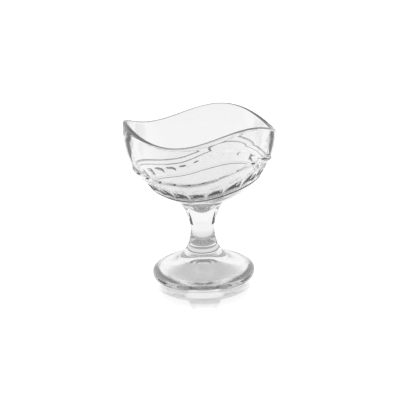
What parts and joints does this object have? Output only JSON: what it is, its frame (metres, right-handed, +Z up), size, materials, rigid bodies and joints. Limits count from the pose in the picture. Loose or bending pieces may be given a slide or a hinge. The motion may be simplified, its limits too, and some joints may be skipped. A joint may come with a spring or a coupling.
{
  "type": "dessert cup",
  "caption": "Footed dessert cup in clear pressed glass: a deep round bowl with a wavy rim and fluted wave bands, on a short waisted stem and a domed foot, for ice cream or fruit.",
  "frame": {"origin": "centre of the foot's resting ring, on the table plane and on the cup's axis", "axes": "+Z up along the axis of the cup, -Y towards the front as pictured, +X to the viewer's right"},
  "size_m": [0.0994, 0.0994, 0.1084],
  "materials": {
    "bowl_glass": "clear, fire polished",
    "stem_glass": "clear, fire polished",
    "foot_glass": "clear, fire polished"
  },
  "bodies": {
    "root": {"bowl": "bowl_glass", "stem": "stem_glass", "foot": "foot_glass"}
  },
  "joints": []
}
